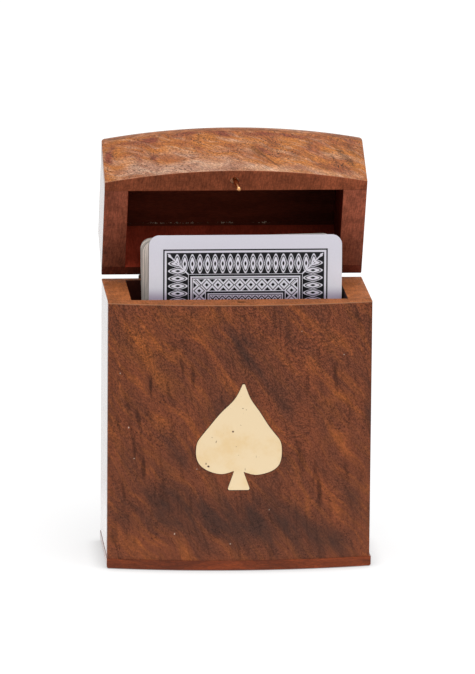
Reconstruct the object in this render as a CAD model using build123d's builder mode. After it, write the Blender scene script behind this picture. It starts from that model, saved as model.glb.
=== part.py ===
# A hinged wooden box for one deck of playing cards, standing upright with its lid open.
# Millimetres. X runs from the viewer's left to right, Y from front to back, Z up.
# The origin is under the middle of the base, halfway between the front corners and the back.
import os
from math import cos, radians, sin, sqrt, tan

from build123d import *

# Deck
card_width = 56.0
card_height = 87.0
card_corner = 3.0
card_thickness = 0.28
card_gap = 0.02
cards_per_packet = 9
packets = 6
deck_lean = 2.0  # backwards
deck_back_clearance = 0.35  # top of the last card to the back panel's inner face
last_card_turn = 1.25
last_card_x = 1.9
first_card_x = 2.35
first_card_lift = 3.9  # the front cards stand higher than the rest
card_wander = 0.12  # uneven stacking

# Room left round the deck
side_room = 3.2  # on each side
depth_room = 11.8  # in front and behind together
head_room = 6.8  # over a card that stands on the floor, up to the top of the lid's walls

# Box
front_bow = 4.1  # how far the middle of the front stands ahead of its corners
lid_wall_height = 19.2  # the lid's walls, from its rim to its top board
rim_gap = 0.1  # hairline between the two rims when the lid is closed
lid_open = 63.1  # angle at which the lid stands open here

# Boards
side_wall = 6.9
front_wall = 3.0  # at its ends
back_wall = 3.0
top_board = 3.6
top_edge_radius = 3.0
top_hollow = 1.4  # how deep the top board is hollowed over the opening
edge_ease = 0.25  # rounding of the boards' outer edges

# Base plate
base_edge = 3.0  # thickness of the strip that shows below the walls
base_step = 1.2  # the raised middle that locates the walls
base_proud = 0.25
base_shift = 0.15  # the plate is glued on a little to the right
base_ease = 0.8
base_clearance = 0.05

# Spade inlay in the front panel
spade_depth = 1.5  # recess below the front's highest line
spade_proud = 0.08
spade_clearance = 0.16
spade_x = -0.4
spade_foot_z = 24.0
spade_width = 24.8
spade_height = 31.2
spade_tip_lean = 1.2  # the hand-cut tip stands off centre
spade_tip_blunt = 0.9  # the tip's rounding takes this much off
spade_left_rise = 0.01  # share of the height by which the left lobe is cut higher
spade_left_jaw = 0.82  # share of the half width low on each lobe
spade_right_jaw = 0.88
spade_foot_width = 6.6
spade_rounding = 0.45

# Catch: a bent pin in the lid's rim and its hole in the body's rim
catch_x = -0.5
catch_radius = 0.7
catch_seat = 5.0
catch_ring_radius = 1.3  # the worn mouth round the pin
catch_ring_depth = 0.8
catch_reach = 4.5  # how far it stands out of the lid's rim
catch_bend = 11.0
catch_clearance = 0.22
catch_hole_spare = 1.0

# Hinges
hinge_inset = 11.2  # side of the box to the hinge's outer end
hinge_length = 18.0
leaf_height = 8.5
leaf_thickness = 0.8
knuckle_radius = 0.85
knuckle_clearance = 0.05  # to the wood
knuckle_gap = 0.15  # between knuckles
pin_radius = 0.4
pin_clearance = 0.05
pin_head_radius = 0.7
pin_head = 0.3
screw_radius = 0.55
screw_head_radius = 1.05
screw_bite = 1.8  # into the back board
screw_spacing = 11.0
screw_drop = 5.0  # hinge axis to the screws
slot_width = 0.3
slot_depth = 0.25

# Worked out from the sizes above
card_count = packets * cards_per_packet
card_pitch = card_thickness + card_gap
inner_half_width = card_width / 2 + side_room
half_width = inner_half_width + side_wall
flat_depth = card_count * card_pitch + depth_room + front_wall + back_wall
front_y = -flat_depth / 2
back_y = flat_depth / 2
inner_front_y = front_y + front_wall
inner_back_y = back_y - back_wall
floor_z = base_edge + base_step
lid_wall_top_z = floor_z + card_height + head_room
lid_rim_z = lid_wall_top_z - lid_wall_height
body_height = lid_rim_z - rim_gap
catch_y = (front_y - front_bow + inner_front_y) / 2
screw_length = leaf_thickness + screw_bite
hinge_y = back_y + knuckle_radius + knuckle_clearance
hinge_z = body_height + rim_gap / 2
hinge_line = Axis((0, hinge_y, hinge_z), (1, 0, 0))
hinge_centres = {
    "left": -half_width + hinge_inset + hinge_length / 2,
    "right": half_width - hinge_inset - hinge_length / 2,
}
knuckle_length = (hinge_length - 2 * knuckle_gap) / 3
knuckle_step = knuckle_length + knuckle_gap


def save(piece, name):
    piece.label = name
    export_step(piece, f"parts/{name}.step")


def save_on_lid(piece, name):
    # The lid is drawn closed and swung open about the hinges
    save(piece.rotate(hinge_line, -lid_open), name)


def bowed_plan(rear_y):
    # Plan outline with the bowed front
    with BuildSketch() as plan:
        with BuildLine():
            ThreePointArc((-half_width, front_y), (0, front_y - front_bow), (half_width, front_y))
            Polyline((half_width, front_y), (half_width, rear_y), (-half_width, rear_y),
                     (-half_width, front_y))
        make_face()
    return plan.sketch


def rim_edges(board, rim_z, inside):
    # Edges round the rim face that lie on the outside of the box
    ring = board.edges().filter_by_position(Axis.Z, rim_z - 0.01, rim_z + 0.01)
    return [edge for edge in ring if not inside(edge.center())]


def front_board(bottom_z, top_z, rim_z):
    with BuildPart() as board:
        with BuildSketch(Plane.XY.offset(bottom_z)):
            add(bowed_plan(inner_front_y))
        extrude(amount=top_z - bottom_z)
        fillet(board.edges().filter_by(Axis.Z).group_by(Axis.Y)[0], radius=edge_ease)
        outer = rim_edges(board, rim_z, lambda c: c.Y > inner_front_y - 0.01)
        fillet(outer, radius=edge_ease)
    return board.part


def back_board(bottom_z, top_z, rim_z):
    with BuildPart() as board:
        with BuildSketch(Plane.XY.offset(bottom_z)):
            with Locations((0, back_y - back_wall / 2)):
                Rectangle(2 * half_width, back_wall)
        extrude(amount=top_z - bottom_z)
        fillet(board.edges().filter_by(Axis.Z).group_by(Axis.Y)[-1], radius=edge_ease)
        outer = rim_edges(board, rim_z, lambda c: c.Y < inner_back_y + 0.01)
        fillet(outer, radius=edge_ease)
    return board.part


def side_board(side, bottom_z, top_z, rim_z):
    # side is -1 on the left and 1 on the right
    with BuildPart() as board:
        with BuildSketch(Plane.XY.offset(bottom_z)):
            with Locations((side * (half_width - side_wall / 2), (inner_front_y + inner_back_y) / 2)):
                Rectangle(side_wall, inner_back_y - inner_front_y)
        extrude(amount=top_z - bottom_z)
        outer = rim_edges(board, rim_z, lambda c: abs(c.X) < half_width - 0.01)
        fillet(outer, radius=edge_ease)
    return board.part


def spade_face(spare=0):
    # Outline of the inlay seen from the front; spare widens it all round for the recess
    half = spade_width / 2

    def spot(side, out, up, lean=0.0, out_spare=0.0, up_spare=0.0):
        # out and up are shares of the half width and of the height
        return (spade_x + side * (out * half + out_spare * spare) + lean * spade_tip_lean,
                spade_foot_z + up * spade_height + up_spare * spare)

    apex = (spade_x + spade_tip_lean, spade_foot_z + spade_height + spade_tip_blunt + 2 * spare)
    foot_half = spade_foot_width / 2 / half
    with BuildSketch() as spade:
        with BuildLine():
            for side, jaw, rise in ((-1, spade_left_jaw, spade_left_rise), (1, spade_right_jaw, 0)):
                waist = spot(side, 0.20, 0.853, lean=0.77, out_spare=1)
                flank = spot(side, 0.41, 0.754, lean=0.4, out_spare=0.9, up_spare=0.4)
                shoulder = spot(side, 0.71, 0.593, out_spare=0.8, up_spare=0.6)
                cheek = spot(side, 0.90, 0.497, out_spare=0.9, up_spare=0.4)
                widest = spot(side, 1, 0.36, out_spare=1)
                jowl = spot(side, jaw, 0.207, out_spare=0.7, up_spare=-0.7)
                lobe = spot(side, 0.46, 0.144 + rise, up_spare=-1)
                crotch = spot(side, 0.11, 0.172 + rise, out_spare=1, up_spare=-1)
                foot = spot(side, foot_half, 0, out_spare=1, up_spare=-1)
                Spline(apex, waist, flank, shoulder, cheek, widest, tangents=((side * 0.38, -1), (0, -1)))
                Spline(widest, jowl, lobe, crotch, tangents=((0, -1), (-side, 0.35)))
                Line(crotch, foot)
            Line(spot(-1, foot_half, 0, out_spare=1, up_spare=-1), foot)
        make_face()
        fillet(spade.vertices().group_by(Axis.Y)[0], radius=spade_rounding)
        fillet(spade.vertices().sort_by(Axis.Y)[-1], radius=spade_rounding)
    return spade.sketch


def hinge_screw_places(direction):
    # Planes at the screw heads, looking out of the back; direction is -1 on the body and 1 on the lid
    return [
        Plane(
            origin=(centre + offset, back_y + leaf_thickness, hinge_z + direction * screw_drop),
            x_dir=(1, 0, 0),
            z_dir=(0, 1, 0),
        )
        for centre in hinge_centres.values()
        for offset in (-screw_spacing / 2, screw_spacing / 2)
    ]


def drill_screws(direction):
    with Locations(*hinge_screw_places(direction)):
        CounterSinkHole(radius=screw_radius, counter_sink_radius=screw_head_radius, depth=screw_length,
                        counter_sink_angle=90)


def hinge_leaf(centre, direction):
    # A flat leaf on the back face; the body's has the two outer knuckles, the lid's the middle one
    own = (0,) if direction > 0 else (-knuckle_step, knuckle_step)
    others = (-knuckle_step, knuckle_step) if direction > 0 else (0,)
    clear = knuckle_radius + knuckle_gap
    with BuildPart() as leaf:
        with Locations((centre, back_y + leaf_thickness / 2, hinge_z + direction * leaf_height / 2)):
            Box(hinge_length, leaf_thickness, leaf_height)
        fillet(leaf.edges().filter_by(Axis.Y).sort_by(Axis.Z)[-2:] if direction > 0
               else leaf.edges().filter_by(Axis.Y).sort_by(Axis.Z)[:2], radius=leaf_thickness)
        with Locations(*[(centre + x, back_y + leaf_thickness / 2, hinge_z) for x in others]):
            Box(knuckle_length + 2 * knuckle_gap, 2 * leaf_thickness, 2 * clear, mode=Mode.SUBTRACT)
        with Locations(*[(centre + x, hinge_y, hinge_z) for x in own]):
            Cylinder(radius=knuckle_radius, height=knuckle_length, rotation=(0, 90, 0))
        with Locations((centre, hinge_y, hinge_z)):
            Cylinder(radius=pin_radius + pin_clearance, height=2 * hinge_length, rotation=(0, 90, 0),
                     mode=Mode.SUBTRACT)
        drill_screws(direction)
    return leaf


def hinge_screws(direction):
    head_height = screw_head_radius - screw_radius
    with BuildPart() as screws:
        with Locations(*hinge_screw_places(direction)):
            Cylinder(radius=screw_radius, height=screw_length, align=(Align.CENTER, Align.CENTER, Align.MAX))
            Cone(bottom_radius=screw_radius, top_radius=screw_head_radius, height=head_height,
                 align=(Align.CENTER, Align.CENTER, Align.MAX))
            Box(2 * screw_head_radius, slot_width, slot_depth, mode=Mode.SUBTRACT,
                align=(Align.CENTER, Align.CENTER, Align.MAX))
    return screws


os.makedirs("parts", exist_ok=True)

# Base plate: a bowed plate with an eased edge and a raised middle between the walls
with BuildPart() as base_plate:
    with BuildSketch():
        add(bowed_plan(back_y))
        offset(amount=base_proud, kind=Kind.INTERSECTION)
    extrude(amount=base_edge)
    fillet(base_plate.edges().group_by(Axis.Z)[0], radius=base_ease)
base_plate.part = base_plate.part.translate((base_shift, 0, 0))
with BuildPart() as base_step_block:
    with BuildSketch(Plane.XY.offset(base_edge)):
        with Locations((0, (inner_front_y + inner_back_y) / 2)):
            Rectangle(2 * (inner_half_width - base_clearance),
                      inner_back_y - inner_front_y - 2 * base_clearance)
    extrude(amount=base_step)
save(base_plate.part + base_step_block.part, "base_plate")

# Catch hole in the body's rim: wide enough for the bent pin as it swings in
catch_slope = tan(radians(catch_bend))
pin_low_x = catch_x + (catch_ring_depth + rim_gap) * catch_slope
pin_tip_x = catch_x + (catch_ring_depth + catch_reach) * catch_slope
swing_radius = hinge_y - catch_y
swing_drift = sqrt(swing_radius**2 + catch_reach**2) - swing_radius
catch_hole_x = (pin_low_x + pin_tip_x) / 2
catch_hole_y = catch_y - swing_drift / 2
catch_hole_radius = (
    catch_radius / cos(radians(catch_bend))
    + sqrt((pin_tip_x - pin_low_x) ** 2 + swing_drift**2) / 2
    + catch_clearance
)

# Front panel with the recess for the inlay and the catch hole
recess_y = front_y - front_bow + spade_depth
with BuildPart() as front_panel:
    add(front_board(base_edge, body_height, body_height))
    with BuildSketch(Plane.XZ.offset(-recess_y)):
        add(spade_face(spade_clearance))
    extrude(amount=2 * spade_depth, mode=Mode.SUBTRACT)
    with Locations((catch_hole_x, catch_hole_y, body_height)):
        Hole(radius=catch_hole_radius, depth=catch_reach + catch_hole_spare)
save(front_panel.part, "front_panel")

# Spade inlay, filed to the bow of the front
with BuildPart() as spade_inlay:
    with BuildSketch(Plane.XZ.offset(-recess_y)):
        add(spade_face())
    extrude(amount=2 * spade_depth)
    with BuildSketch():
        add(bowed_plan(inner_front_y))
        offset(amount=spade_proud)
    extrude(amount=body_height, mode=Mode.INTERSECT)
save(spade_inlay.part, "spade_inlay")

# The rest of the body's walls
with BuildPart() as back_panel:
    add(back_board(base_edge, body_height, body_height))
    drill_screws(-1)
save(back_panel.part, "back_panel")
save(side_board(-1, base_edge, body_height, body_height), "left_side_panel")
save(side_board(1, base_edge, body_height, body_height), "right_side_panel")

# Lid walls, drawn closed
with BuildPart() as lid_front_panel:
    add(front_board(lid_rim_z, lid_wall_top_z, lid_rim_z))
    with BuildSketch(Plane.XY.offset(lid_rim_z)):
        with Locations((catch_x, catch_y)):
            Circle(catch_radius)
    extrude(amount=catch_ring_depth + catch_seat, mode=Mode.SUBTRACT)
    with BuildSketch(Plane.XY.offset(lid_rim_z)):
        with Locations((catch_x, catch_y)):
            Circle(catch_ring_radius)
    extrude(amount=catch_ring_depth, mode=Mode.SUBTRACT)
save_on_lid(lid_front_panel.part, "lid_front_panel")

with BuildPart() as lid_back_panel:
    add(back_board(lid_rim_z, lid_wall_top_z, lid_rim_z))
    drill_screws(1)
save_on_lid(lid_back_panel.part, "lid_back_panel")
save_on_lid(side_board(-1, lid_rim_z, lid_wall_top_z, lid_rim_z), "lid_left_side")
save_on_lid(side_board(1, lid_rim_z, lid_wall_top_z, lid_rim_z), "lid_right_side")

# Lid top: a board over the walls with a round top edge, hollowed inside them
with BuildPart() as lid_top_board:
    with BuildSketch(Plane.XY.offset(lid_wall_top_z)):
        add(bowed_plan(back_y))
    extrude(amount=top_board)
    fillet(lid_top_board.edges().filter_by(Axis.Z), radius=edge_ease)
    fillet(lid_top_board.edges().group_by(Axis.Z)[-1], radius=top_edge_radius)
    with BuildSketch(Plane.XY.offset(lid_wall_top_z)):
        with Locations((0, (inner_front_y + inner_back_y) / 2)):
            Rectangle(2 * inner_half_width, inner_back_y - inner_front_y)
    extrude(amount=top_hollow, mode=Mode.SUBTRACT)
save_on_lid(lid_top_board.part, "lid_top_board")

# Catch pin: a straight seat in the wood, then bent to the right
knee = (catch_x, catch_y, lid_rim_z + catch_ring_depth)
pin_direction = (sin(radians(catch_bend)), 0, -cos(radians(catch_bend)))
bent_length = (catch_ring_depth + catch_reach) / cos(radians(catch_bend)) - catch_radius
with BuildPart() as catch_pin:
    with BuildSketch(Plane.XY.offset(knee[2])):
        with Locations((catch_x, catch_y)):
            Circle(catch_radius)
    extrude(amount=catch_seat)
    with BuildSketch(Plane(origin=knee, z_dir=pin_direction)) as bent_section:
        Circle(catch_radius)
    extrude(amount=bent_length)
    tip = tuple(k + bent_length * d for k, d in zip(knee, pin_direction))
    with Locations(knee, tip):
        Sphere(catch_radius)
save_on_lid(catch_pin.part, "catch_pin")

# Hinges: leaves, pins with peened ends, and screws
for side, centre in hinge_centres.items():
    save(hinge_leaf(centre, -1).part, f"{side}_hinge_body_leaf")
    save_on_lid(hinge_leaf(centre, 1).part, f"{side}_hinge_lid_leaf")

with BuildPart() as hinge_pins:
    for centre in hinge_centres.values():
        with Locations((centre, hinge_y, hinge_z)):
            Cylinder(radius=pin_radius, height=hinge_length, rotation=(0, 90, 0))
        for side in (-1, 1):
            with Locations((centre + side * (hinge_length + pin_head) / 2, hinge_y, hinge_z)):
                Cylinder(radius=pin_head_radius, height=pin_head, rotation=(0, 90, 0))
save(hinge_pins.part, "hinge_pins")
save(hinge_screws(-1).part, "body_hinge_screws")
save_on_lid(hinge_screws(1).part, "lid_hinge_screws")

# Deck: every card leans back alike, the last one is turned and the first ones stand higher
lean = radians(deck_lean)
last_back_y = inner_back_y - deck_back_clearance - card_height * sin(lean)


def card_place(number):
    # number runs from 0 for the last card to card_count - 1 for the first
    share = number / (card_count - 1)
    turn = last_card_turn * (1 - share**1.5)
    lift = first_card_lift * share**3 + card_wander * (1 + sin(2.3 * number))
    across = last_card_x + (first_card_x - last_card_x) * share + card_wander * sin(1.7 * number)
    back = last_back_y - number * card_pitch / cos(lean)
    plane = Plane(origin=(0, back, floor_z), x_dir=(1, 0, 0), z_dir=(0, -cos(lean), sin(lean)))
    # Raised so that the lower corner of a turned card still clears the floor
    corner_drop = card_width / 2 * sin(radians(turn)) + card_height / 2 * (cos(radians(turn)) - 1)
    return plane, across, card_height / 2 + lift + corner_drop, turn


for packet in range(packets):
    with BuildPart() as cards:
        for number in range(packet * cards_per_packet, (packet + 1) * cards_per_packet):
            plane, across, up, turn = card_place(number)
            with BuildSketch(plane):
                with Locations((across, up)):
                    RectangleRounded(card_width, card_height, card_corner, rotation=turn)
            extrude(amount=card_thickness)
    save(cards.part, f"card_packet_{packet + 1}")
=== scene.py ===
from math import cos, pi, radians, sin

import bpy
from mathutils import Matrix, Vector


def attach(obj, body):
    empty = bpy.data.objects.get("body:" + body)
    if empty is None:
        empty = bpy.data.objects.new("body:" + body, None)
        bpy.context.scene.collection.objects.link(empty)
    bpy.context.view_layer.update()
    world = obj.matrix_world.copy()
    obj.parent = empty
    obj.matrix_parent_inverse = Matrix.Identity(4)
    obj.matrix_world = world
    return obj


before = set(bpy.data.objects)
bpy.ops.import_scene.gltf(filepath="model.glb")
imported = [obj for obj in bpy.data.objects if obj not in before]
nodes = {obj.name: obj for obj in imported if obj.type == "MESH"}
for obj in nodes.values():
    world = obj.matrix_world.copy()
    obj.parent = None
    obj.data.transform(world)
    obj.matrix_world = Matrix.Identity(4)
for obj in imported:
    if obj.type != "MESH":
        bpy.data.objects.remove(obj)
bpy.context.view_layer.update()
scene = bpy.context.scene
print("frame:", len(nodes), "pieces")

# camera, at the photograph's angle
cameraSetup = {
    "target": (-0.00081, -0.017, 0.06827),
    "distance": 1.96121,
    "rise": 12.24,  # degrees
    "swing": 4.47,
    "roll": 0.49,
    "lens": 364.15,
}


def buildCamera(setup):
    rise, swing, roll = (radians(setup[key]) for key in ("rise", "swing", "roll"))
    back = Vector((-sin(swing) * cos(rise), -cos(swing) * cos(rise), sin(rise)))
    side = Vector((0, 0, 1)).cross(back).normalized()
    upright = back.cross(side)
    right = side * cos(roll) + upright * sin(roll)
    up = upright * cos(roll) - side * sin(roll)
    spot = Vector(setup["target"]) + back * setup["distance"]
    camera = bpy.data.objects.new("camera", bpy.data.cameras.new("camera"))
    camera.data.lens = setup["lens"]
    camera.data.clip_end = 30
    camera.matrix_world = Matrix((right, up, back)).transposed().to_4x4()
    camera.matrix_world.translation = spot
    scene.collection.objects.link(camera)
    scene.camera = camera


buildCamera(cameraSetup)
scene.view_settings.view_transform = "Standard"
print("camera ready")


def paint(code):  # six hex digits to a linear colour
    parts = [int(code[i:i + 2], 16) / 255 for i in (0, 2, 4)]
    return [p / 12.92 if p <= 0.04045 else ((p + 0.055) / 1.055) ** 2.4 for p in parts] + [1]


class Signal:  # a shader number that can be used in plain sums
    def __init__(self, bench, socket):
        self.bench, self.socket = bench, socket

    def reckon(self, operation, *values):
        return self.bench.add("ShaderNodeMath", {"operation": operation}, dict(enumerate(values)))

    def __add__(self, other):
        return self.reckon("ADD", self, other)

    def __radd__(self, other):
        return self.reckon("ADD", other, self)

    def __sub__(self, other):
        return self.reckon("SUBTRACT", self, other)

    def __rsub__(self, other):
        return self.reckon("SUBTRACT", other, self)

    def __mul__(self, other):
        return self.reckon("MULTIPLY", self, other)

    def __rmul__(self, other):
        return self.reckon("MULTIPLY", other, self)

    def __truediv__(self, other):
        return self.reckon("DIVIDE", self, other)

    def __abs__(self):
        return self.reckon("ABSOLUTE", self)

    def least(self, other):
        return self.reckon("MINIMUM", self, other)

    def most(self, other):
        return self.reckon("MAXIMUM", self, other)

    def over(self, limit):  # 1 above the limit, 0 below
        return self.reckon("GREATER_THAN", self, limit)

    def under(self, limit):
        return self.reckon("LESS_THAN", self, limit)

    def smooth(self, low, high):  # soft step from 0 at low to 1 at high
        return self.bench.add("ShaderNodeMapRange", {"interpolation_type": "SMOOTHSTEP"},
                              {"Value": self, "From Min": low, "From Max": high})

    def line(self, middle, width, blur=0.06):  # 1 within a line of that width
        return 1 - abs(self - middle).smooth(width / 2 - blur / 2, width / 2 + blur / 2)


class Bench:  # a node tree and the few ways of filling it
    def __init__(self, tree):
        self.tree = tree
        tree.nodes.clear()

    def add(self, kind, settings=None, sockets=None, out=0):
        node = self.tree.nodes.new(kind)
        for name, value in (settings or {}).items():
            setattr(node, name, value)
        for name, value in (sockets or {}).items():
            if isinstance(value, Signal):
                self.tree.links.new(value.socket, node.inputs[name])
            else:
                node.inputs[name].default_value = value
        return Signal(self, node.outputs[out])

    def split(self, vector):
        node = self.add("ShaderNodeSeparateXYZ", {}, {0: vector}).socket.node
        return [Signal(self, output) for output in node.outputs]

    def noise(self, where, size, turn=(0, 0, 0), detail=2.0, rough=0.5, out=0):
        laid = self.add("ShaderNodeMapping", {"vector_type": "TEXTURE"},
                        {"Vector": where, "Rotation": [radians(a) for a in turn], "Scale": size})
        return self.add("ShaderNodeTexNoise", {},
                        {"Vector": laid, "Scale": 1.0, "Detail": detail, "Roughness": rough}, out)

    def tint(self, share, first, second, mode="MIX"):
        return self.add("ShaderNodeMix", {"data_type": "RGBA", "blend_type": mode},
                        {0: share, 6: first, 7: second}, 2)

    def shade(self, colour, share, depth):  # darkens a colour by share, down to depth
        return self.tint(share, colour, [depth, depth, depth, 1], "MULTIPLY")

    def grade(self, colour, level):  # multiplies a colour by a number that varies
        return self.tint(1.0, colour, level, "MULTIPLY")

    def surface(self, sockets, height=None, depth=0.00003):
        if height is not None:
            sockets["Normal"] = self.add("ShaderNodeBump", {}, {"Height": height, "Distance": depth})
        self.finish(self.add("ShaderNodeBsdfPrincipled", {}, sockets))

    def finish(self, shader, kind="ShaderNodeOutputMaterial"):
        output = self.tree.nodes.new(kind)
        self.tree.links.new(shader.socket, output.inputs["Surface"])


def newFinish(name):
    material = bpy.data.materials.new(name)
    material.use_nodes = True
    return material, Bench(material.node_tree)


# stage: pale floor, white surroundings, soft lamps
stageSetup = {
    "floorSize": 30.0,
    "floorColour": "eeeeee",
    "floorSeen": "a0a0a0",  # what the camera sees of the paper, and what is added to make it white
    "floorLift": 0.68,
    "farLift": 0.12,
    "farReach": (0.15, 0.6),
    "contactReach": 0.005,
    "contactShare": 0.6,
    "liftInGloss": 0.15,
    "nearLiftInGloss": 0.35,
    "nearReach": (0.05, 0.11),
    "worldLight": 0.55,
    "worldSeen": 1.0,
    "lamps": [
        # name, place, aims at, size, watts
        ("topLamp", (0.1, -0.3, 1.5), (0, 0, 0.08), 1.2, 14.5),
        ("frontLamp", (0.2, -2.0, 1.2), (0, 0, 0.06), 1.4, 12.5),
    ],
}


def rayKinds(bench):  # camera rays, and mirror and glass rays
    camera = bench.add("ShaderNodeLightPath", {}, {}, "Is Camera Ray")
    rays = camera.socket.node.outputs
    glossy, through = (Signal(bench, rays[name]) for name in ("Is Glossy Ray", "Is Transmission Ray"))
    return camera, glossy.most(through)


def buildStage(setup):
    world = bpy.data.worlds.new("surroundings")
    world.use_nodes = True
    scene.world = world
    bench = Bench(world.node_tree)
    camera, mirrored = rayKinds(bench)
    strength = setup["worldLight"] + (setup["worldSeen"] - setup["worldLight"]) * camera.most(mirrored)
    bench.finish(bench.add("ShaderNodeBackground", {}, {"Color": (1, 1, 1, 1), "Strength": strength}),
                 "ShaderNodeOutputWorld")

    half = setup["floorSize"] / 2
    mesh = bpy.data.meshes.new("floor")
    corners = [(-half, -half, 0), (half, -half, 0), (half, half, 0), (-half, half, 0)]
    mesh.from_pydata(corners, [], [(0, 1, 2, 3)])
    floor = bpy.data.objects.new("floor", mesh)
    scene.collection.objects.link(floor)
    material, bench = newFinish("floor paper")
    camera, mirrored = rayKinds(bench)
    clear = bench.add("ShaderNodeAmbientOcclusion", {"samples": 8}, {"Distance": setup["contactReach"]}, "AO")
    place = bench.add("ShaderNodeTexCoord", {}, {}, "Object")
    reach = bench.add("ShaderNodeVectorMath", {"operation": "LENGTH"}, {0: place}, "Value")
    lift = (setup["floorLift"] * (1 - setup["contactShare"] * (1 - clear))
            + setup["farLift"] * reach.smooth(*setup["farReach"]))
    colour = bench.tint(camera, paint(setup["floorColour"]), paint(setup["floorSeen"]))
    paper = bench.add("ShaderNodeBsdfDiffuse", {}, {"Color": colour})
    mirroredLift = setup["liftInGloss"] + setup["nearLiftInGloss"] * (1 - reach.smooth(*setup["nearReach"]))
    glow = bench.add("ShaderNodeEmission", {}, {
        "Color": (1, 1, 1, 1), "Strength": camera * lift + mirrored * mirroredLift})
    bench.finish(bench.add("ShaderNodeAddShader", {}, {0: paper, 1: glow}))
    mesh.materials.append(material)

    for name, place, aim, size, watts in setup["lamps"]:
        lamp = bpy.data.objects.new(name, bpy.data.lights.new(name, "AREA"))
        lamp.data.energy = watts
        lamp.data.size = size
        lamp.location = place
        lamp.rotation_euler = (Vector(aim) - Vector(place)).to_track_quat("-Z", "Y").to_euler()
        scene.collection.objects.link(lamp)


buildStage(stageSetup)
print("stage ready")

# the box's own measures, in millimetres, that the finishes and the glue need
boxSizes = {
    "innerHalfWidth": 31.2,
    "innerHalfDepth": 14.0,
    "rim": 78.7,
    "lidRim": 78.8,
    "lidCeiling": 99.4,
    "hinge": (0, 17.9, 78.75),
    "lidOpen": 63.1,
    "deeperThanTheBox": 1000,  # a spot drawn on a face runs right through the board
}


def placeInMillimetres(bench, onLid):
    # a lid piece is read as if the lid were shut, so its grain runs true to the boards
    turn = radians(boxSizes["lidOpen"]) if onLid else 0
    hinge = Vector(boxSizes["hinge"])
    shift = hinge - Matrix.Rotation(turn, 3, "X") @ hinge
    source = bench.add("ShaderNodeTexCoord", {}, {}, "Object")
    return bench.add("ShaderNodeMapping", {}, {
        "Vector": source, "Scale": (1000, 1000, 1000), "Rotation": (turn, 0, 0), "Location": shift})


def softSpots(bench, where, rows, core=0.15):
    # each row is x, z, half width, half height, lean in degrees, strength
    total = 0.0
    for x, z, wide, tall, lean, strength in rows:
        local = bench.add("ShaderNodeMapping", {"vector_type": "TEXTURE"}, {
            "Vector": where, "Location": (x, 0, z), "Rotation": (0, radians(lean), 0),
            "Scale": (wide, boxSizes["deeperThanTheBox"], tall)})
        reach = bench.add("ShaderNodeVectorMath", {"operation": "LENGTH"}, {0: local}, "Value")
        total = total + strength * (1 - reach.smooth(core, 1.0))
    return total


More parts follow.
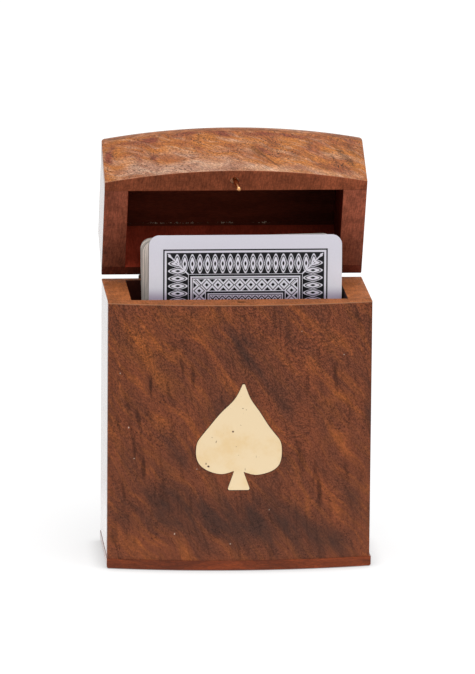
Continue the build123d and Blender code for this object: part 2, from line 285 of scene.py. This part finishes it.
frontLook = {
    "colour": "88492e", "dark": "4e3127", "amberAndSheen": "b4642f",
    "rim": "a8643c", "worn": "c08a66", "inside": "3a160c",
    "sway": 8.0, "swaySize": (15, 17, 20), "curl": 1.6, "curlSize": (2.6, 3, 3.4),
    "toneSize": (4.5, 20, 17), "toneTurn": -34, "toneShare": 0.42,
    "streakSize": (1.1, 7, 8), "streakTurn": -9, "streakShare": 0.28,
    "emberSize": (1.5, 8, 14), "emberTurn": -42, "emberShare": 0.42,
    "rippleSize": (1.3, 2, 0.42), "rippleTurn": -10, "rippleShare": 0.42,
    "hairSize": (0.24, 2, 5), "hairTurn": -40, "hairShare": 0.18,
    "grainSize": (0.3, 1, 0.6), "grainTurn": -36, "grainShare": 0.56, "grainLow": 0.24, "poreShare": 0.45,
    "markShare": 0.56, "roughness": 0.42, "coat": 0.35, "bump": 0.00004,
    "curlZones": [
        (20, 66, 20, 13, 0, 1.0), (2, 75, 16, 6, 0, 0.6), (16, 44, 14, 12, 0, 0.5), (-30, 70, 8, 8, 0, 0.3),
    ],
    "darkSpots": [
        (1.2, 66, 8, 13, -4, 0.55), (5, 58.5, 9, 8, 30, 0.5), (-6, 49, 9, 8, -30, 0.6),
        (-4, 14, 38, 14, 6, 0.55), (16, 12, 22, 11, 20, 0.42), (-16, 17, 14, 9, 0, 0.3),
        (1, 22, 22, 8, 0, 0.22), (-30, 14, 10, 8, 0, 0.25), (28, 8, 8, 8, 0, 0.35),
        (11.7, 27.7, 6, 9, -8, 0.35), (13.4, 51.4, 7, 9, -30, 0.35), (-24, 22, 9, 11, 0, 0.4),
        (-20, 36, 9, 11, -10, 0.35), (36.5, 48, 3, 14, 0, 0.5),
        (-14, 30, 8, 9, 0, 0.3), (33, 24, 6, 12, 0, 0.4), (-33, 26, 6, 14, 0, 0.3),
    ],
    "darkStreaks": [
        (-14, 57.6, 0.9, 5, -4, 0.9), (-25.6, 54.8, 0.9, 4.6, -4, 1.0), (-29.1, 44.6, 1.0, 4.2, -10, 0.9),
        (-27.8, 30.5, 1.0, 4.8, -4, 1.0), (-33.3, 23.7, 0.8, 4.2, -8, 0.8), (23.4, 23.7, 1.0, 6.5, -6, 1.0),
        (22.0, 29.5, 0.8, 4.5, -6, 0.6), (-17, 60.4, 0.8, 5, -8, 0.7), (-32.2, 49.7, 0.8, 4, -14, 0.7),
        (-35.3, 43.5, 0.7, 4, -8, 0.6), (-30.6, 36.1, 0.8, 4.4, -6, 0.8), (-36.3, 8, 0.9, 3.4, -20, 0.7),
        (17.2, 33.3, 1.6, 8, -10, 0.6), (27.7, 56, 0.8, 6, -2, 0.7), (9.5, 74.5, 0.7, 5, -4, 0.6),
        (18.9, 54.8, 0.9, 5, 0, 0.6), (33.8, 73.4, 1.1, 5, -14, 0.6), (25, 74.5, 0.7, 4, 0, 0.4),
        (31, 30, 0.8, 6, -4, 0.5),
        (-19.5, 50, 0.8, 4, -20, 0.5), (13.5, 66, 0.8, 6, 0, 0.4), (-10.5, 62, 0.8, 5, 0, 0.4),
    ],
    "amberAndSheenSpots": [
        (-28, 67, 14, 9, 20, 0.5), (-21.4, 55.3, 7, 3.4, 48, 1.0), (-26, 61, 10, 3, 42, 0.7),
        (-32.5, 51.4, 5, 2, 40, 0.5), (-23, 43.5, 4.5, 2, 40, 0.6), (-16, 5.6, 6.5, 2, 46, 0.7),
        (-30.3, 8, 5, 2.2, 46, 0.6), (20.6, 18, 1.6, 6, -10, 0.6), (25.5, 9, 6, 2.5, 40, 0.4),
        (27.8, 49.7, 6, 3, 0, 0.4), (27.8, 39, 5, 3, 0, 0.4), (20, 60.4, 4, 5, 0, 0.4),
        (-12, 75, 17, 4, 0, 0.5), (-12.6, 70, 7, 4, 40, 0.3), (27, 66, 7, 5, 0, 0.3),
    ],
    "nicks": [
        (-32.1, 42.1, 0.22, 0.32, 0, 0.8), (-18.8, 10.9, 0.2, 0.36, 20, 0.8), (-2.7, 8, 0.28, 0.2, 0, 0.6),
        (29.9, 63.2, 0.22, 0.22, 0, 0.5), (-12.5, 30.2, 0.2, 0.2, 0, 0.5), (-30.5, 33, 0.32, 0.18, 0, 0.5),
        (17.5, 70.5, 0.2, 0.2, 0, 0.4), (-34.6, 58, 0.2, 0.3, 0, 0.5), (8.5, 18, 0.2, 0.26, 30, 0.4),
    ],
}

lidLook = {
    "colour": "c87a3a", "dark": "904b34", "amberAndSheen": "e4b89a",
    # the inside colour is painted lighter, painted light against the shade inside the lid
    "rim": "8c4a30", "worn": "c79a7c", "inside": "662c1c",
    "sway": 7.0, "swaySize": (12, 14, 10), "curl": 1.2, "curlSize": (1.8, 3, 1.8),
    "toneSize": (9, 9, 3.6), "toneTurn": 16, "toneShare": 0.55,
    "streakSize": (0.9, 7, 4.5), "streakTurn": -38, "streakShare": 0.16,
    "emberSize": (7, 7, 1.2), "emberTurn": 24, "emberShare": 0.4,
    "rippleSize": (1.6, 2, 0.4), "rippleTurn": 30, "rippleShare": 0.32,
    "hairSize": (0.28, 2, 2.6), "hairTurn": -58, "hairShare": 0.22,
    "grainSize": (0.7, 1, 0.3), "grainTurn": 28, "grainShare": 0.46, "grainLow": 0.46, "poreShare": 0.7,
    "markShare": 0.46, "roughness": 0.36, "coat": 0.5, "bump": 0.00004,
    "curlZones": [(28, 90, 14, 12, 0, 1.0), (-20, 94, 20, 6, 0, 0.4)],
    "darkSpots": [
        (-36.5, 90.5, 2.2, 6, 0, 0.8), (-24, 95.2, 4, 1.8, -10, 0.8), (-30, 94.5, 12, 3.4, 0, 0.5),
        (0, 96.6, 34, 2, 0, 0.35), (-28.5, 87, 2, 3.2, -30, 0.5), (-24, 87.5, 1.8, 3, -20, 0.5),
        (15, 97.2, 9, 1.6, 0, 0.6), (-8, 97.4, 10, 1.3, 0, 0.4), (33, 95, 6, 5, 0, 0.6),
        (24, 92, 8, 3, -20, 0.4), (8, 90, 4, 1.6, 30, 0.5), (-9.5, 89.5, 2, 2.4, 0, 0.5),
        (-3, 95.5, 4, 1.2, 0, 0.5), (0, 91, 6, 2, -14, 0.3), (30, 82.5, 7, 3, 0, 0.3),
    ],
    "darkStreaks": [
        (6.4, 88.2, 1.9, 3.6, -42, 0.8), (9.6, 85.0, 0.6, 7.6, -39, 0.9), (31.9, 89.4, 1.3, 7.5, -31, 1.0),
        (28.6, 88.5, 0.7, 6, -30, 0.5), (17, 87.5, 1.2, 4.5, -30, 0.5), (26, 83.5, 1.4, 3, -30, 0.5),
        (34.5, 92, 1.6, 6, -26, 0.7), (15.2, 96.5, 0.5, 2.2, 0, 0.6), (22, 93.5, 1.4, 4, -10, 0.5),
        (22, 86, 0.5, 5, -38, 0.4),
    ],
    # near the lid's rim these spots are a painted reflection, a pale sheen; this look's pale amber is that
    # painted sheen's colour
    "amberAndSheenSpots": [
        (-14, 80.6, 24, 5.4, 0, 1.0), (-27, 83, 13, 4.2, 0, 0.6), (8, 80.2, 17, 3.4, 0, 0.65),
        (24, 80.2, 13, 2.4, 0, 0.4), (-14, 87.5, 10, 2.4, 12, 0.5), (-4, 84, 12, 3.0, 0, 0.3),
        (-32, 88, 7, 2, 0, 0.3), (2, 92.5, 8, 1.6, 16, 0.3),
    ],
}
lidTopLook = dict(
    lidLook, colour="b4724a", dark="84492e", amberAndSheen="c89a7c", sway=4.0, curl=0.4,
    toneSize=(34, 5, 5), toneTurn=0, streakSize=(16, 1.1, 1.1), streakTurn=0, streakShare=0.24,
    emberSize=(24, 2.4, 2.4), emberTurn=0, rippleSize=(3, 0.6, 0.6), rippleTurn=0, rippleShare=0.2,
    hairSize=(6, 0.25, 0.25), hairTurn=0, grainSize=(1.6, 0.34, 0.34), grainTurn=0, poreShare=0.2,
    curlZones=[], darkSpots=[], darkStreaks=[], amberAndSheenSpots=[], edgeHighlight=(100.5, 0.9, 0.4),
)

sideLook = {
    "colour": "6e3620", "dark": "4c2418", "amberAndSheen": "88491f",
    "rim": "b0683c", "worn": "c08a66", "inside": "36130a",
    "sway": 7.0, "swaySize": (20, 20, 40), "curl": 0.5, "curlSize": (4, 4, 6),
    "toneSize": (14, 8, 60), "toneTurn": 0, "toneShare": 0.5,
    "streakSize": (4, 1.6, 14), "streakTurn": 0, "streakShare": 0.22,
    "emberSize": (6, 3.4, 26), "emberTurn": 3, "emberShare": 0.5,
    "rippleSize": (1.2, 0.9, 2.5), "rippleTurn": 0, "rippleShare": 0.16,
    "hairSize": (0.4, 0.24, 7), "hairTurn": 0, "hairShare": 0.22,
    "grainSize": (0.5, 0.35, 1.6), "grainTurn": 0, "grainShare": 0.25, "grainLow": 0.25, "poreShare": 0.2,
    "markShare": 0.0, "roughness": 0.3, "coat": 1.0, "bump": 0.000004, "curlZones": [],
    "darkSpots": [], "darkStreaks": [], "amberAndSheenSpots": [],
}
# lid copies of the side look: their rims are painted darker as painted shade, and their insides lighter as
# painted light against the lid's shade
lidSideLook = dict(sideLook, rim="94503a", inside="702414")
lidBackLook = dict(lidSideLook, rim="7a3624", inside="a03c28")

baseLook = dict(
    sideLook, colour="7e381a", dark="4c200f", amberAndSheen="a64c22", inside="38150b",
    coat=0.8, roughness=0.5, bump=0.00002,
    toneSize=(26, 14, 3), streakSize=(9, 4, 0.9), emberSize=(14, 6, 1.6), hairSize=(4, 0.6, 0.2),
    rippleSize=(2.0, 1, 0.5), grainSize=(1.1, 0.5, 0.3), amberAndSheenSpots=[(30, 3, 26, 12, 0, 1.0)],
)


# fine detail that all the boards share
boardDetail = {
    "fineSway": 0.35,  # how far the fine grain follows the sway
    "poreSize": (0.42, 1, 0.6), "poreTurn": (0, 20, 0),
    "patchSize": (8, 8, 8),  # the curl comes and goes over this length
    "mostCurl": 1.2, "mostStreak": 1.3,
    "amberAndSheenDepth": 0.85,
    "wearAndHighlightReach": (0.25, 0.6), "wearAndHighlightShare": 0.6, "lidWearAndHighlightShare": 0.3,
    "rimBand": 0.2,
    "rimLineSize": (0.32, 2.6, 3), "rimCloudSize": (4, 3, 4), "rimGrainSize": (0.45, 0.6, 0.5),
    "glueLine": 0.16, "glueBlur": 0.1,
    "dust": "cdb9a8", "paintedHighlight": "c9bdb0", "paintedHighlightShare": 0.45,
    "insideFrom": 1.0, "insideSpare": 0.1,
}


def woodFinish(name, look, onLid=False):
    fine = boardDetail
    material, bench = newFinish(name)
    place = placeInMillimetres(bench, onLid)
    x, y, z = bench.split(place)
    layersOn = []
    where = place
    for amount, size in ((look["sway"], look["swaySize"]), (look["curl"], look["curlSize"])):
        drift = bench.add("ShaderNodeVectorMath", {"operation": "SUBTRACT"},
                          {0: bench.noise(where, size, detail=1.5, out=1), 1: (0.5, 0.5, 0.5)})
        where = bench.add("ShaderNodeVectorMath", {"operation": "MULTIPLY_ADD"},
                          {0: drift, 1: [amount] * 3, 2: where})
        layersOn.append(where)
    swayed, curled = layersOn
    halfway = bench.add("ShaderNodeMix", {"data_type": "VECTOR"}, {0: fine["fineSway"], 4: place, 5: swayed}, 1)

    def figure(layer, on, detail=2.0):
        return bench.noise(on, look[layer + "Size"], (0, look[layer + "Turn"], 0), detail, 0.55)

    def spots(rows, on, core=0.15):
        return softSpots(bench, on, look[rows], core)

    # broad colour: smoky clouds over the ground colour, warmer flames through it, and on the lid near the rim a
    # pale painted reflection
    tone = figure("tone", swayed, 3).smooth(0.36, 0.64)
    ember = figure("ember", swayed).smooth(0.45, 0.67)
    darkness = tone * look["toneShare"] + spots("darkSpots", swayed, 0)
    warmthAndSheen = ember * look["emberShare"] + fine["amberAndSheenDepth"] * spots("amberAndSheenSpots", swayed, 0.1)
    colour = bench.tint(warmthAndSheen.least(1.0), paint(look["colour"]), paint(look["amberAndSheen"]))
    colour = bench.tint(darkness.least(1.0), colour, paint(look["dark"]))

    # fine figure: streaks, curl, hair lines, grain and pores, each a share darker or lighter
    streak = figure("streak", swayed, 1.5).smooth(0.50, 0.74)
    ripple = figure("ripple", curled).smooth(0.34, 0.66)
    hair = figure("hair", swayed, 1).smooth(0.48, 0.72)
    grain = figure("grain", halfway, 3).smooth(0.36, 0.62)
    pore = bench.noise(place, fine["poreSize"], fine["poreTurn"], 1).smooth(0.59, 0.67)
    patch = bench.noise(place, fine["patchSize"], detail=1).smooth(0.40, 0.60)
    curl = (0.2 + 0.5 * patch + spots("curlZones", swayed)).least(fine["mostCurl"])
    strength = look["grainLow"] + (look["grainShare"] - look["grainLow"]) * (z / boxSizes["rim"]).least(1.0)
    level = ((1 - look["streakShare"] * streak) * (1 + look["rippleShare"] * curl * (ripple - 0.5))
             * (1 - look["hairShare"] * hair) * (1 - strength * grain)
             * (1 - look["poreShare"] * pore * (0.4 + 0.6 * patch)))
    if look["darkStreaks"]:
        streaks = spots("darkStreaks", halfway, 0.3).least(fine["mostStreak"])
        level = level * (1 - look["markShare"] * streaks)
    colour = bench.grade(colour, level)

    # the rim, with fine cross lines, glue lines at the corners and a pale outer edge that is partly wear and
    # partly a painted highlight
    rimHeight = boxSizes["lidRim"] if onLid else boxSizes["rim"]
    unworn = abs(z - rimHeight).smooth(*fine["wearAndHighlightReach"])
    wearAndHighlightShare = fine["lidWearAndHighlightShare"] if onLid else fine["wearAndHighlightShare"]
    colour = bench.tint((1 - unworn) * wearAndHighlightShare, colour, paint(look["worn"]))
    rimLines = bench.noise(place, fine["rimLineSize"], (0, 0, 5), 2).smooth(0.42, 0.62)
    rimCloud = bench.noise(place, fine["rimCloudSize"], (0, 0, 30), 3).smooth(0.36, 0.64)
    rimGrain = bench.noise(place, fine["rimGrainSize"], (0, 0, 30), 3).smooth(0.32, 0.68)
    glueLine = abs(y).line(boxSizes["innerHalfDepth"], fine["glueLine"], fine["glueBlur"])
    rimLevel = (1 - 0.28 * rimLines) * (1.1 - 0.3 * rimCloud) * (1 - 0.3 * rimGrain) * (1 - 0.4 * glueLine)
    if onLid:  # painted shade, darker towards the hinge, and painted light, lighter to the right
        rimLevel = rimLevel * (1 - 0.45 * y.smooth(-6, 16)) * (1 + 0.25 * x.smooth(-10, 34))
    rimColour = bench.grade(paint(look["rim"]), rimLevel)
    onRim = z.under(rimHeight + fine["rimBand"]) if onLid else z.over(rimHeight - fine["rimBand"])
    colour = bench.tint(onRim, colour, rimColour)

    if "nicks" in look:  # dust and small scratches
        colour = bench.tint(softSpots(bench, place, look["nicks"], 0.5), colour, paint(fine["dust"]))
    if "edgeHighlight" in look:  # painted highlight, pale along the rounding
        paintedHighlight = z.line(*look["edgeHighlight"]) * bench.noise(place, (6, 6, 6), detail=2).smooth(0.3, 0.6)
        colour = bench.tint(paintedHighlight * fine["paintedHighlightShare"], colour, paint(fine["paintedHighlight"]))

    # bare wood inside, darker to the right as painted shade
    spare = fine["insideSpare"]
    inside = (abs(x).under(boxSizes["innerHalfWidth"] + spare)
              * abs(y).under(boxSizes["innerHalfDepth"] + spare)
              * z.over(fine["insideFrom"]) * z.under(boxSizes["lidCeiling"] + spare))
    insideGrainAndShade = (1 - 0.3 * tone) * (1 - 0.5 * x.smooth(-5, 28)) * (1.1 - 0.3 * grain)
    colour = bench.tint(inside, colour, bench.grade(paint(look["inside"]), insideGrainAndShade))

    bare = inside.most(onRim)
    roughness = look["roughness"] + 0.1 * (ripple - 0.5) + 0.12 * hair + 0.25 * bare
    bench.surface({"Base Color": colour, "Roughness": roughness, "Specular IOR Level": 0.08,
                   "Coat Weight": look["coat"] * (1 - bare), "Coat Roughness": 0.1, "Coat IOR": 1.22},
                  ripple * -0.3 - hair * 0.4 - pore * 0.5 - grain * 0.3, look["bump"])
    return material


metalLooks = {
    "inlay": {"colour": "dec8a4", "stain": "d4b27a", "pit": "4a2c24",
              "roughness": 0.34, "stainSize": 9, "pitSize": 0.5},
    "hinge": {"colour": "a9854c", "stain": "6e5230", "pit": "4a3018",
              "roughness": 0.36, "stainSize": 4, "pitSize": 0.4,
              "paintedShadeFrom": 26.2},  # painted shade: the outer end of each hinge, in the gap, is painted dark
    "screw": {"colour": "dcbb78", "stain": "9f7c44", "pit": "40301c",
              "roughness": 0.3, "stainSize": 2, "pitSize": 0.3},
    "pin": {"colour": "cf9463", "stain": "9a5c3a", "pit": "4a2a1a",
            "roughness": 0.22, "stainSize": 2, "pitSize": 0.3},
}


def metalFinish(name, look, onLid=False, pits=()):
    material, bench = newFinish(name)
    place = placeInMillimetres(bench, onLid)
    stain = bench.noise(place, [look["stainSize"]] * 3, detail=4, rough=0.6)
    speck = bench.noise(place, [look["pitSize"]] * 3, detail=1).smooth(0.79, 0.82)
    brushed = bench.noise(place, (0.12, 3, 3), (0, 25, 0), 2)
    if pits:
        speck = (speck + softSpots(bench, place, pits)).least(1.0)
    colour = bench.tint(stain.smooth(0.45, 0.75) * 0.5, paint(look["colour"]), paint(look["stain"]))
    # painted shade on the outer ends of the hinge
    if "paintedShadeFrom" in look:
        endShade = abs(bench.split(place)[0]).smooth(look["paintedShadeFrom"], look["paintedShadeFrom"] + 0.5)
        speck = speck.most(endShade)
    colour = bench.tint(speck, colour, paint(look["pit"]))
    roughness = look["roughness"] + 0.2 * (stain - 0.5) + 0.06 * (brushed - 0.5) + 0.3 * speck
    bench.surface({"Base Color": colour, "Roughness": roughness, "Metallic": 1 - 0.6 * speck},
                  stain * 0.25 + brushed * 0.12 - speck, 0.00005)
    return material


cardLook = {
    "paper": "d4d2dc", "paintedLightPaper": "f6f3fb", "edge": "fbf1e8", "ink": "08070c", "shadow": "6e625c",
    "paintedRimShade": "b4a4ba", "paintedRimShadeReach": (76.4, 80.4), "paintedRimShadeShare": 0.9,  # painted shade, violet, near the box's rim
    "frontAt": -5.72, "lean": 0.0349,
    "middle": (2.45, 51.79),  # of the front card's back, across and up
    "halfSize": (28.0, 43.5),
    # inset, width
    "frames": [(4.35, 0.42), (5.3, 0.3), (11.8, 0.55), (12.6, 0.22), (16.8, 0.55), (17.5, 0.22)],
    "weave": (5.4, 11.4, 4.4),  # from inset, to inset, length of a wave
    "lozenges": (12.9, 16.3, 3.2),
    "lattice": (17.8, 1.9),
}


def cardFinish(name, look, printed):
    material, bench = newFinish(name)
    x, y, z = bench.split(placeInMillimetres(bench, False))
    mottle = bench.noise(placeInMillimetres(bench, False), (0.5, 0.5, 0.5), detail=2)
    # painted light: the paper is painted lighter lower down, against the shade of the box
    paper = bench.tint(1 - z.smooth(74, 93), paint(look["paper"]), paint(look["paintedLightPaper"]))
    paper = bench.shade(paper, mottle.smooth(0.3, 0.8) * 0.4, 0.93)
    edgeShade = bench.noise(placeInMillimetres(bench, False), (2, 0.22, 9), detail=1).smooth(0.4, 0.6)
    packs = bench.noise(placeInMillimetres(bench, False), (30, 0.9, 60), detail=1).smooth(0.46, 0.60)
    edge = bench.shade(bench.shade(paint(look["edge"]), edgeShade, 0.8), packs, 0.48)
    if not printed:
        bench.surface({"Base Color": edge, "Roughness": 0.55 + 0.1 * mottle})
        return material
    across, up = x - look["middle"][0], z - look["middle"][1]
    fromSide, fromEnd = look["halfSize"][0] - abs(across), look["halfSize"][1] - abs(up)
    inset = fromSide.least(fromEnd)
    along = bench.add("ShaderNodeMix", {"data_type": "FLOAT"},
                      {0: fromSide.under(fromEnd), 2: across, 3: up}, 0)
    ink = 0.0
    for middle, width in look["frames"]:
        ink = ink + inset.line(middle, width, 0.1)

    low, high, wave = look["weave"]  # two waves crossing on a dark band, a spindle between each crossing
    t = (inset - low) / (high - low)
    swing = along * (2 * pi / wave)
    swing = swing.reckon("COSINE", swing)
    offset = t - 0.5
    threads = (offset - 0.43 * swing).line(0.0, 0.085, 0.05)
    threads = threads.most((offset + 0.43 * swing).line(0.0, 0.085, 0.05))
    spindle = 1 - (abs(offset) - 0.62 * abs(swing) + 0.30).smooth(-0.03, 0.03)
    dot = 1 - (abs(offset) * 5.4 + (1 - abs(swing)) * 6).smooth(0.5, 0.75)
    mitre = (fromSide - fromEnd).line(0.0, 0.5, 0.15)
    ink = ink + t.over(0.0) * t.under(1.0) * (1 - threads.most(spindle * (1 - dot)).most(mitre))

    low, high, wave = look["lozenges"]  # a row of open lozenges with dots
    cell = abs((along / wave).reckon("FRACT", along / wave) - 0.5) * 2
    rise = abs(inset - (low + high) / 2) / ((high - low) / 2)
    diamond = cell + rise
    inBand = inset.over(low) * inset.under(high)
    lozenge = diamond.line(0.92, 0.2, 0.1) + (1 - diamond.smooth(0.28, 0.4)) + diamond.smooth(1.35, 1.5)
    ink = ink + inBand * lozenge

    start, step = look["lattice"]  # diagonal lattice in the middle
    slopeA, slopeB = ((across + up * way) / step for way in (1, -1))
    cellA, cellB = (abs(s.reckon("FRACT", s) - 0.5) * 2 for s in (slopeA, slopeB))
    net = cellA.smooth(0.68, 0.82).most(cellB.smooth(0.68, 0.82))
    net = net.most(1 - cellA.most(cellB).smooth(0.25, 0.4))
    ink = ink + inset.over(start) * net

    # painted shade on the card near the box's rim
    paintedRimShade = 1 - z.smooth(*look["paintedRimShadeReach"])
    colour = bench.tint(paintedRimShade * look["paintedRimShadeShare"], paper, paint(look["paintedRimShade"]))
    colour = bench.tint(ink.least(1.0), colour, paint(look["ink"]))
    behind = y - look["frontAt"] - z * look["lean"]  # how far behind the front card's face
    behindFront = behind.smooth(0.26, 0.34) * (1 - behind.smooth(0.8, 1.1))
    edge = bench.tint(behindFront * 0.8, edge, paint(look["shadow"]))
    colour = bench.tint(inset.under(0.04).most(behind.over(0.27)), colour, edge)
    bench.surface({"Base Color": colour, "Roughness": 0.38 + 0.1 * mottle, "Specular IOR Level": 0.2},
                  mottle, 0.00001)
    return material


inlayPits = [
    (-2.2, 41.3, 0.42, 0.42, 0, 1.2), (0.6, 48.1, 0.3, 0.25, 0, 0.8), (1.6, 47.7, 0.25, 0.25, 0, 0.5),
    (-7.0, 38.3, 0.25, 0.6, 18, 0.6), (-8.2, 39.6, 0.25, 0.25, 0, 0.5), (-9.2, 31.0, 0.5, 0.45, 0, 1.3),
    (-9.9, 31.8, 0.35, 0.5, 0, 0.7), (1.4, 30.1, 0.2, 0.6, 0, 0.5), (4.6, 33.8, 0.2, 0.6, 0, 0.3),
]
finishes = {
    "frontWood": woodFinish("figured rosewood, front", frontLook),
    "sideWood": woodFinish("straight rosewood", sideLook),
    "baseWood": woodFinish("rosewood, base", baseLook),
    "lidWood": woodFinish("golden rosewood, lid front", lidLook, True),
    "lidTopWood": woodFinish("golden rosewood, lid top", lidTopLook, True),
    "lidSideWood": woodFinish("straight rosewood, lid sides", lidSideLook, True),
    "lidBackWood": woodFinish("straight rosewood, lid back", lidBackLook, True),
    "inlayBrass": metalFinish("pale inlay brass", metalLooks["inlay"], pits=inlayPits),
    "hingeBrass": metalFinish("rolled hinge brass", metalLooks["hinge"]),
    "lidHingeBrass": metalFinish("rolled hinge brass, lid", metalLooks["hinge"], True),
    "screwBrass": metalFinish("turned screw brass", metalLooks["screw"]),
    "lidScrewBrass": metalFinish("turned screw brass, lid", metalLooks["screw"], True),
    "pinBrass": metalFinish("coppery pin", metalLooks["pin"], True),
    "printedCard": cardFinish("printed card", cardLook, True),
    "cardStock": cardFinish("card stock", cardLook, False),
}
wearing = {
    "frontWood": ["front_panel"],
    "sideWood": ["back_panel", "left_side_panel", "right_side_panel"],
    "baseWood": ["base_plate"],
    "lidWood": ["lid_front_panel"],
    "lidTopWood": ["lid_top_board"],
    "lidSideWood": ["lid_left_side", "lid_right_side"],
    "lidBackWood": ["lid_back_panel"],
    "inlayBrass": ["spade_inlay"],
    "hingeBrass": ["left_hinge_body_leaf", "right_hinge_body_leaf", "hinge_pins"],
    "lidHingeBrass": ["left_hinge_lid_leaf", "right_hinge_lid_leaf"],
    "screwBrass": ["body_hinge_screws"],
    "lidScrewBrass": ["lid_hinge_screws"],
    "pinBrass": ["catch_pin"],
    "printedCard": ["card_packet_6"],
    "cardStock": [f"card_packet_{number}" for number in range(1, 6)],
}
for finish, names in wearing.items():
    for name in names:
        for slot in nodes[name].material_slots:
            slot.material = finishes[finish]
print("finishes on", sum(map(len, wearing.values())), "pieces")

# old glue left along the corner inside the lid
glueBead = {
    "start": (-30.5, 13.85, 99.2),  # in millimetres, with the lid shut
    "end": (17.0, 13.85, 99.2),
    "count": 120,
    "size": 0.19,
    "scatter": 0.28,
    "clusters": 160.0,  # noise scale per metre
    "seed": 7,
    "drift": (4, 0.6, 0.6),  # in scatters, along the corner and across it
    "leastFleck": (0.3, 0.2, 0.2),
    "mostFleck": (2.4, 1.0, 1.0),
    "thinToThick": (0.15, 1.15),
    "colour": "b39b86",
}


class Builder:  # a Geometry Nodes tree with named inputs
    kinds = {float: "NodeSocketFloat", int: "NodeSocketInt", tuple: "NodeSocketVector"}

    def __init__(self, name, inputs):
        self.tree = bpy.data.node_groups.new(name, "GeometryNodeTree")
        self.tree.interface.new_socket("Geometry", in_out="OUTPUT", socket_type="NodeSocketGeometry")
        for title, value in inputs.items():
            kind = "NodeSocketMaterial" if isinstance(value, bpy.types.Material) else self.kinds[type(value)]
            self.tree.interface.new_socket(title, in_out="INPUT", socket_type=kind)
        self.inputs = self.add("NodeGroupInput")
        self.values = inputs

    def add(self, kind, settings=None, sockets=None):
        node = self.tree.nodes.new(kind)
        for name, value in (settings or {}).items():
            setattr(node, name, value)
        for name, value in (sockets or {}).items():
            if isinstance(value, bpy.types.NodeSocket):
                self.tree.links.new(value, node.inputs[name])
            else:
                node.inputs[name].default_value = value
        return node

    def given(self, title):
        return self.inputs.outputs[title]

    def bake(self, name, geometry):  # ends the tree, runs it and keeps a plain mesh
        real = self.add("GeometryNodeRealizeInstances", {}, {"Geometry": geometry})
        dressed = self.add("GeometryNodeSetMaterial", {},
                           {"Geometry": real.outputs[0], "Material": self.given("Material")})
        self.add("NodeGroupOutput", {}, {"Geometry": dressed.outputs[0]})
        carrier = bpy.data.objects.new(name + "Carrier", bpy.data.meshes.new(name + "Carrier"))
        scene.collection.objects.link(carrier)
        modifier = carrier.modifiers.new("build", "NODES")
        modifier.node_group = self.tree
        for item in self.tree.interface.items_tree:
            if item.in_out == "INPUT":
                modifier[item.identifier] = self.values[item.name]
        bpy.context.view_layer.update()
        mesh = bpy.data.meshes.new_from_object(carrier.evaluated_get(bpy.context.evaluated_depsgraph_get()))
        bpy.data.objects.remove(carrier)
        piece = bpy.data.objects.new(name, mesh)
        scene.collection.objects.link(piece)
        return piece


def lidPoint(point):  # from the shut lid, in millimetres, to the open lid, in metres
    hinge = Vector(boxSizes["hinge"])
    turned = Matrix.Rotation(-radians(boxSizes["lidOpen"]), 3, "X") @ (Vector(point) - hinge)
    return (hinge + turned) / 1000


def buildGlueBead(setup):
    material, bench = newFinish("dried glue")
    place = placeInMillimetres(bench, True)
    cloud = bench.noise(place, (0.8, 0.8, 0.8), detail=3)
    colour = bench.shade(paint(setup["colour"]), cloud.smooth(0.3, 0.7), 0.35)
    bench.surface({"Base Color": colour, "Roughness": 0.45 + 0.2 * cloud}, cloud, 0.00002)
    tree = Builder("glue bead", {
        "Start": tuple(lidPoint(setup["start"])), "End": tuple(lidPoint(setup["end"])), "Count": setup["count"],
        "Size": setup["size"] / 1000, "Scatter": setup["scatter"] / 1000, "Clusters": setup["clusters"],
        "Seed": setup["seed"], "Material": material})
    line = tree.add("GeometryNodeMeshLine", {"mode": "END_POINTS"}, {
        "Count": tree.given("Count"), "Start Location": tree.given("Start"), "Offset": tree.given("End")})

    def randomVector(low, high, shift):
        seed = tree.add("ShaderNodeMath", {"operation": "ADD"}, {0: tree.given("Seed"), 1: shift})
        return tree.add("FunctionNodeRandomValue", {"data_type": "FLOAT_VECTOR"},
                        {0: low, 1: high, "Seed": seed.outputs[0]}).outputs[0]

    drift = tree.add("ShaderNodeVectorMath", {"operation": "SCALE"},
                     {0: randomVector([-d for d in setup["drift"]], setup["drift"], 1),
                      "Scale": tree.given("Scatter")})
    loose = tree.add("GeometryNodeSetPosition", {}, {"Geometry": line.outputs[0], "Offset": drift.outputs[0]})
    cloud = tree.add("ShaderNodeTexNoise", {}, {"Scale": tree.given("Clusters"), "Detail": 1.0})
    thin, thick = setup["thinToThick"]
    body = tree.add("ShaderNodeMapRange", {"interpolation_type": "SMOOTHSTEP"}, {
        "Value": cloud.outputs[0], "From Min": 0.45, "From Max": 0.66, "To Min": thin, "To Max": thick})
    size = tree.add("ShaderNodeVectorMath", {"operation": "SCALE"},
                    {0: randomVector(setup["leastFleck"], setup["mostFleck"], 3), "Scale": body.outputs[0]})
    fleck = tree.add("GeometryNodeMeshIcoSphere", {}, {"Radius": tree.given("Size"), "Subdivisions": 2})
    spread = tree.add("GeometryNodeInstanceOnPoints", {}, {
        "Points": loose.outputs[0], "Instance": fleck.outputs[0],
        "Rotation": randomVector((0, 0, 0), (3, 3, 3), 2), "Scale": size.outputs[0]})
    piece = tree.bake("lid_glue_bead", spread.outputs[0])
    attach(piece, "lid")


buildGlueBead(glueBead)
print("glue bead laid")
